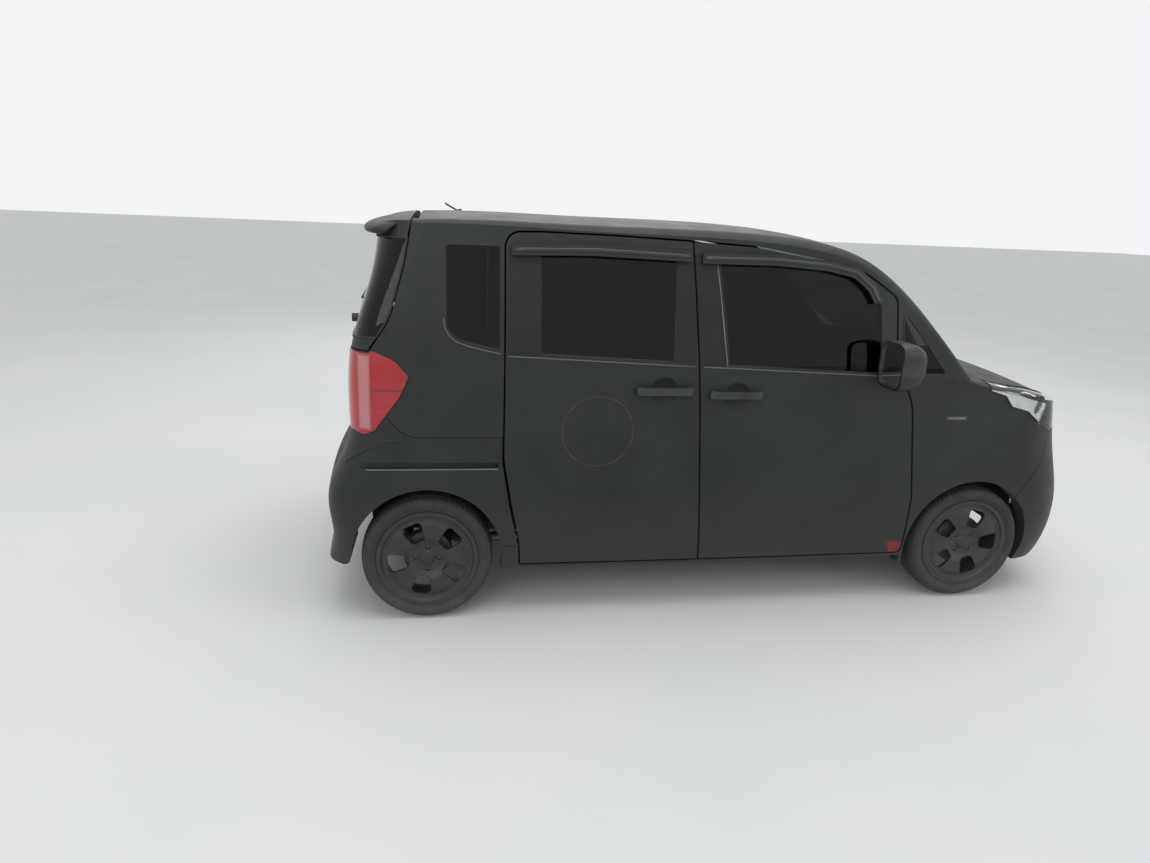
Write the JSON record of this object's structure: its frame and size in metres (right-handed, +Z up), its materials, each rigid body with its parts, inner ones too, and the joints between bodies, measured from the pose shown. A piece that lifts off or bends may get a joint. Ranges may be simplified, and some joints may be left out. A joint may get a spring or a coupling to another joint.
{
  "type": "city car",
  "caption": "Tall boxy city car body on its wheels with opening doors, bonnet, tailgate, a fixed sliding rear door, steered front wheels and a furnished cabin.",
  "frame": {"origin": "centre of the outline in plan, on the ground", "axes": "+X to the front of the car, +Y to its left, +Z up"},
  "size_m": [3.6003, 2.0006, 1.7363],
  "materials": {
    "body": "matt charcoal black, weathered",
    "underbody": "black underbody coat",
    "black_plastic": "grained black",
    "lamp_bowl": "silvered",
    "clear_lens": "clear lens",
    "red_lens": "red lens",
    "glass": "dark tinted",
    "mirror": "mirror",
    "seat_fabric": "dark woven cloth",
    "aluminium": "cast, dulled",
    "steel": "dull",
    "cast_iron": "as cast",
    "rubber": "matt",
    "tyre": "worn tread",
    "rim": "satin black paint"
  },
  "bodies": {
    "body": {"floor_pan": "underbody", "front_frame": "underbody", "body_side_right": "body", "body_side_left": "body", "centre_pillar_left": "body", "roof": "body", "cowl": "black_plastic", "wings": "body", "front_bumper": "body", "front_grille": "black_plastic", "headlamp_bowls": "lamp_bowl", "headlamp_lenses": "clear_lens", "rear_bumper": "body", "tail_lamp_bowls": "lamp_bowl", "tail_lamp_lenses": "red_lens", "windscreen": "glass", "fixed_side_glass": "glass", "sliding_door": "body", "sliding_door_glass": "glass", "sliding_door_fittings": "black_plastic", "dashboard": "black_plastic", "front_seats": "seat_fabric", "seat_bases": "underbody", "rear_seat": "seat_fabric", "engine_block": "aluminium", "radiator": "aluminium", "front_suspension": "underbody", "rear_axle": "underbody", "exhaust": "steel", "fuel_tank": "black_plastic", "wipers": "black_plastic", "antenna": "rubber"},
    "steering_wheel": {"steering_wheel": "black_plastic"},
    "bonnet": {"bonnet": "body"},
    "tailgate": {"tailgate": "body", "tailgate_glass": "glass", "rear_wiper": "black_plastic"},
    "door_front_right": {"door_front_right": "body", "door_front_right_glass": "glass", "door_front_right_fittings": "black_plastic", "mirror_glass_right": "mirror"},
    "door_front_left": {"door_front_left": "body", "door_front_left_glass": "glass", "door_front_left_fittings": "black_plastic", "mirror_glass_left": "mirror"},
    "door_rear_left": {"door_rear_left": "body", "door_rear_left_glass": "glass", "door_rear_left_fittings": "black_plastic"},
    "knuckle_left": {"knuckle_left": "cast_iron"},
    "knuckle_right": {"knuckle_right": "cast_iron"},
    "wheel_front_left": {"tyre_front_left": "tyre", "rim_front_left": "rim"},
    "wheel_front_right": {"tyre_front_right": "tyre", "rim_front_right": "rim"},
    "wheel_rear_left": {"tyre_rear_left": "tyre", "rim_rear_left": "rim"},
    "wheel_rear_right": {"tyre_rear_right": "tyre", "rim_rear_right": "rim"}
  },
  "joints": [
    {"name": "door_front_right_hinge", "type": "hinge", "parent": "body", "child": "door_front_right", "pos_m": [0.8155, -0.797, 0.62], "axis": [0, 0.0349, 0.9994], "range_deg": [0, 68]},
    {"name": "door_front_left_hinge", "type": "hinge", "parent": "body", "child": "door_front_left", "pos_m": [0.8155, 0.797, 0.62], "axis": [0, -0.0349, 0.9994], "range_deg": [-68, 0]},
    {"name": "door_rear_left_hinge", "type": "hinge", "parent": "body", "child": "door_rear_left", "pos_m": [-0.1825, 0.797, 0.62], "axis": [0, -0.0349, 0.9994], "range_deg": [-68, 0]},
    {"name": "bonnet_hinge", "type": "hinge", "parent": "body", "child": "bonnet", "pos_m": [1.0525, 0, 1.075], "axis": [0, -1, 0], "range_deg": [0, 52]},
    {"name": "tailgate_hinge", "type": "hinge", "parent": "body", "child": "tailgate", "pos_m": [-1.3835, 0, 1.697], "axis": [0, 1, 0], "range_deg": [0, 82]},
    {"name": "steer_left", "type": "hinge", "parent": "body", "child": "knuckle_left", "pos_m": [1.1625, 0.65, 0.19], "axis": [0, -0.2351, 0.972], "range_deg": [-35, 35]},
    {"name": "steer_right", "type": "hinge", "parent": "body", "child": "knuckle_right", "pos_m": [1.1625, -0.65, 0.19], "axis": [0, 0.2351, 0.972], "range_deg": [-35, 35]},
    {"name": "steering_wheel_turn", "type": "hinge", "parent": "body", "child": "steering_wheel", "pos_m": [0.4225, 0.365, 0.97], "axis": [-0.8829, 0, 0.4695], "range_deg": [-500, 500]},
    {"name": "wheel_front_left_spin", "type": "hinge", "parent": "knuckle_left", "child": "wheel_front_left", "pos_m": [1.1625, 0.7, 0.278], "axis": [0, 1, 0], "continuous": true},
    {"name": "wheel_rear_left_spin", "type": "hinge", "parent": "body", "child": "wheel_rear_left", "pos_m": [-1.3575, 0.7, 0.278], "axis": [0, 1, 0], "continuous": true},
    {"name": "wheel_front_right_spin", "type": "hinge", "parent": "knuckle_right", "child": "wheel_front_right", "pos_m": [1.1625, -0.7, 0.278], "axis": [0, 1, 0], "continuous": true},
    {"name": "wheel_rear_right_spin", "type": "hinge", "parent": "body", "child": "wheel_rear_right", "pos_m": [-1.3575, -0.7, 0.278], "axis": [0, 1, 0], "continuous": true}
  ],
  "couplings": [
    {"joint": "steer_right", "follows": "steer_left", "ratio": 1},
    {"joint": "steering_wheel_turn", "follows": "steer_left", "ratio": 14}
  ]
}
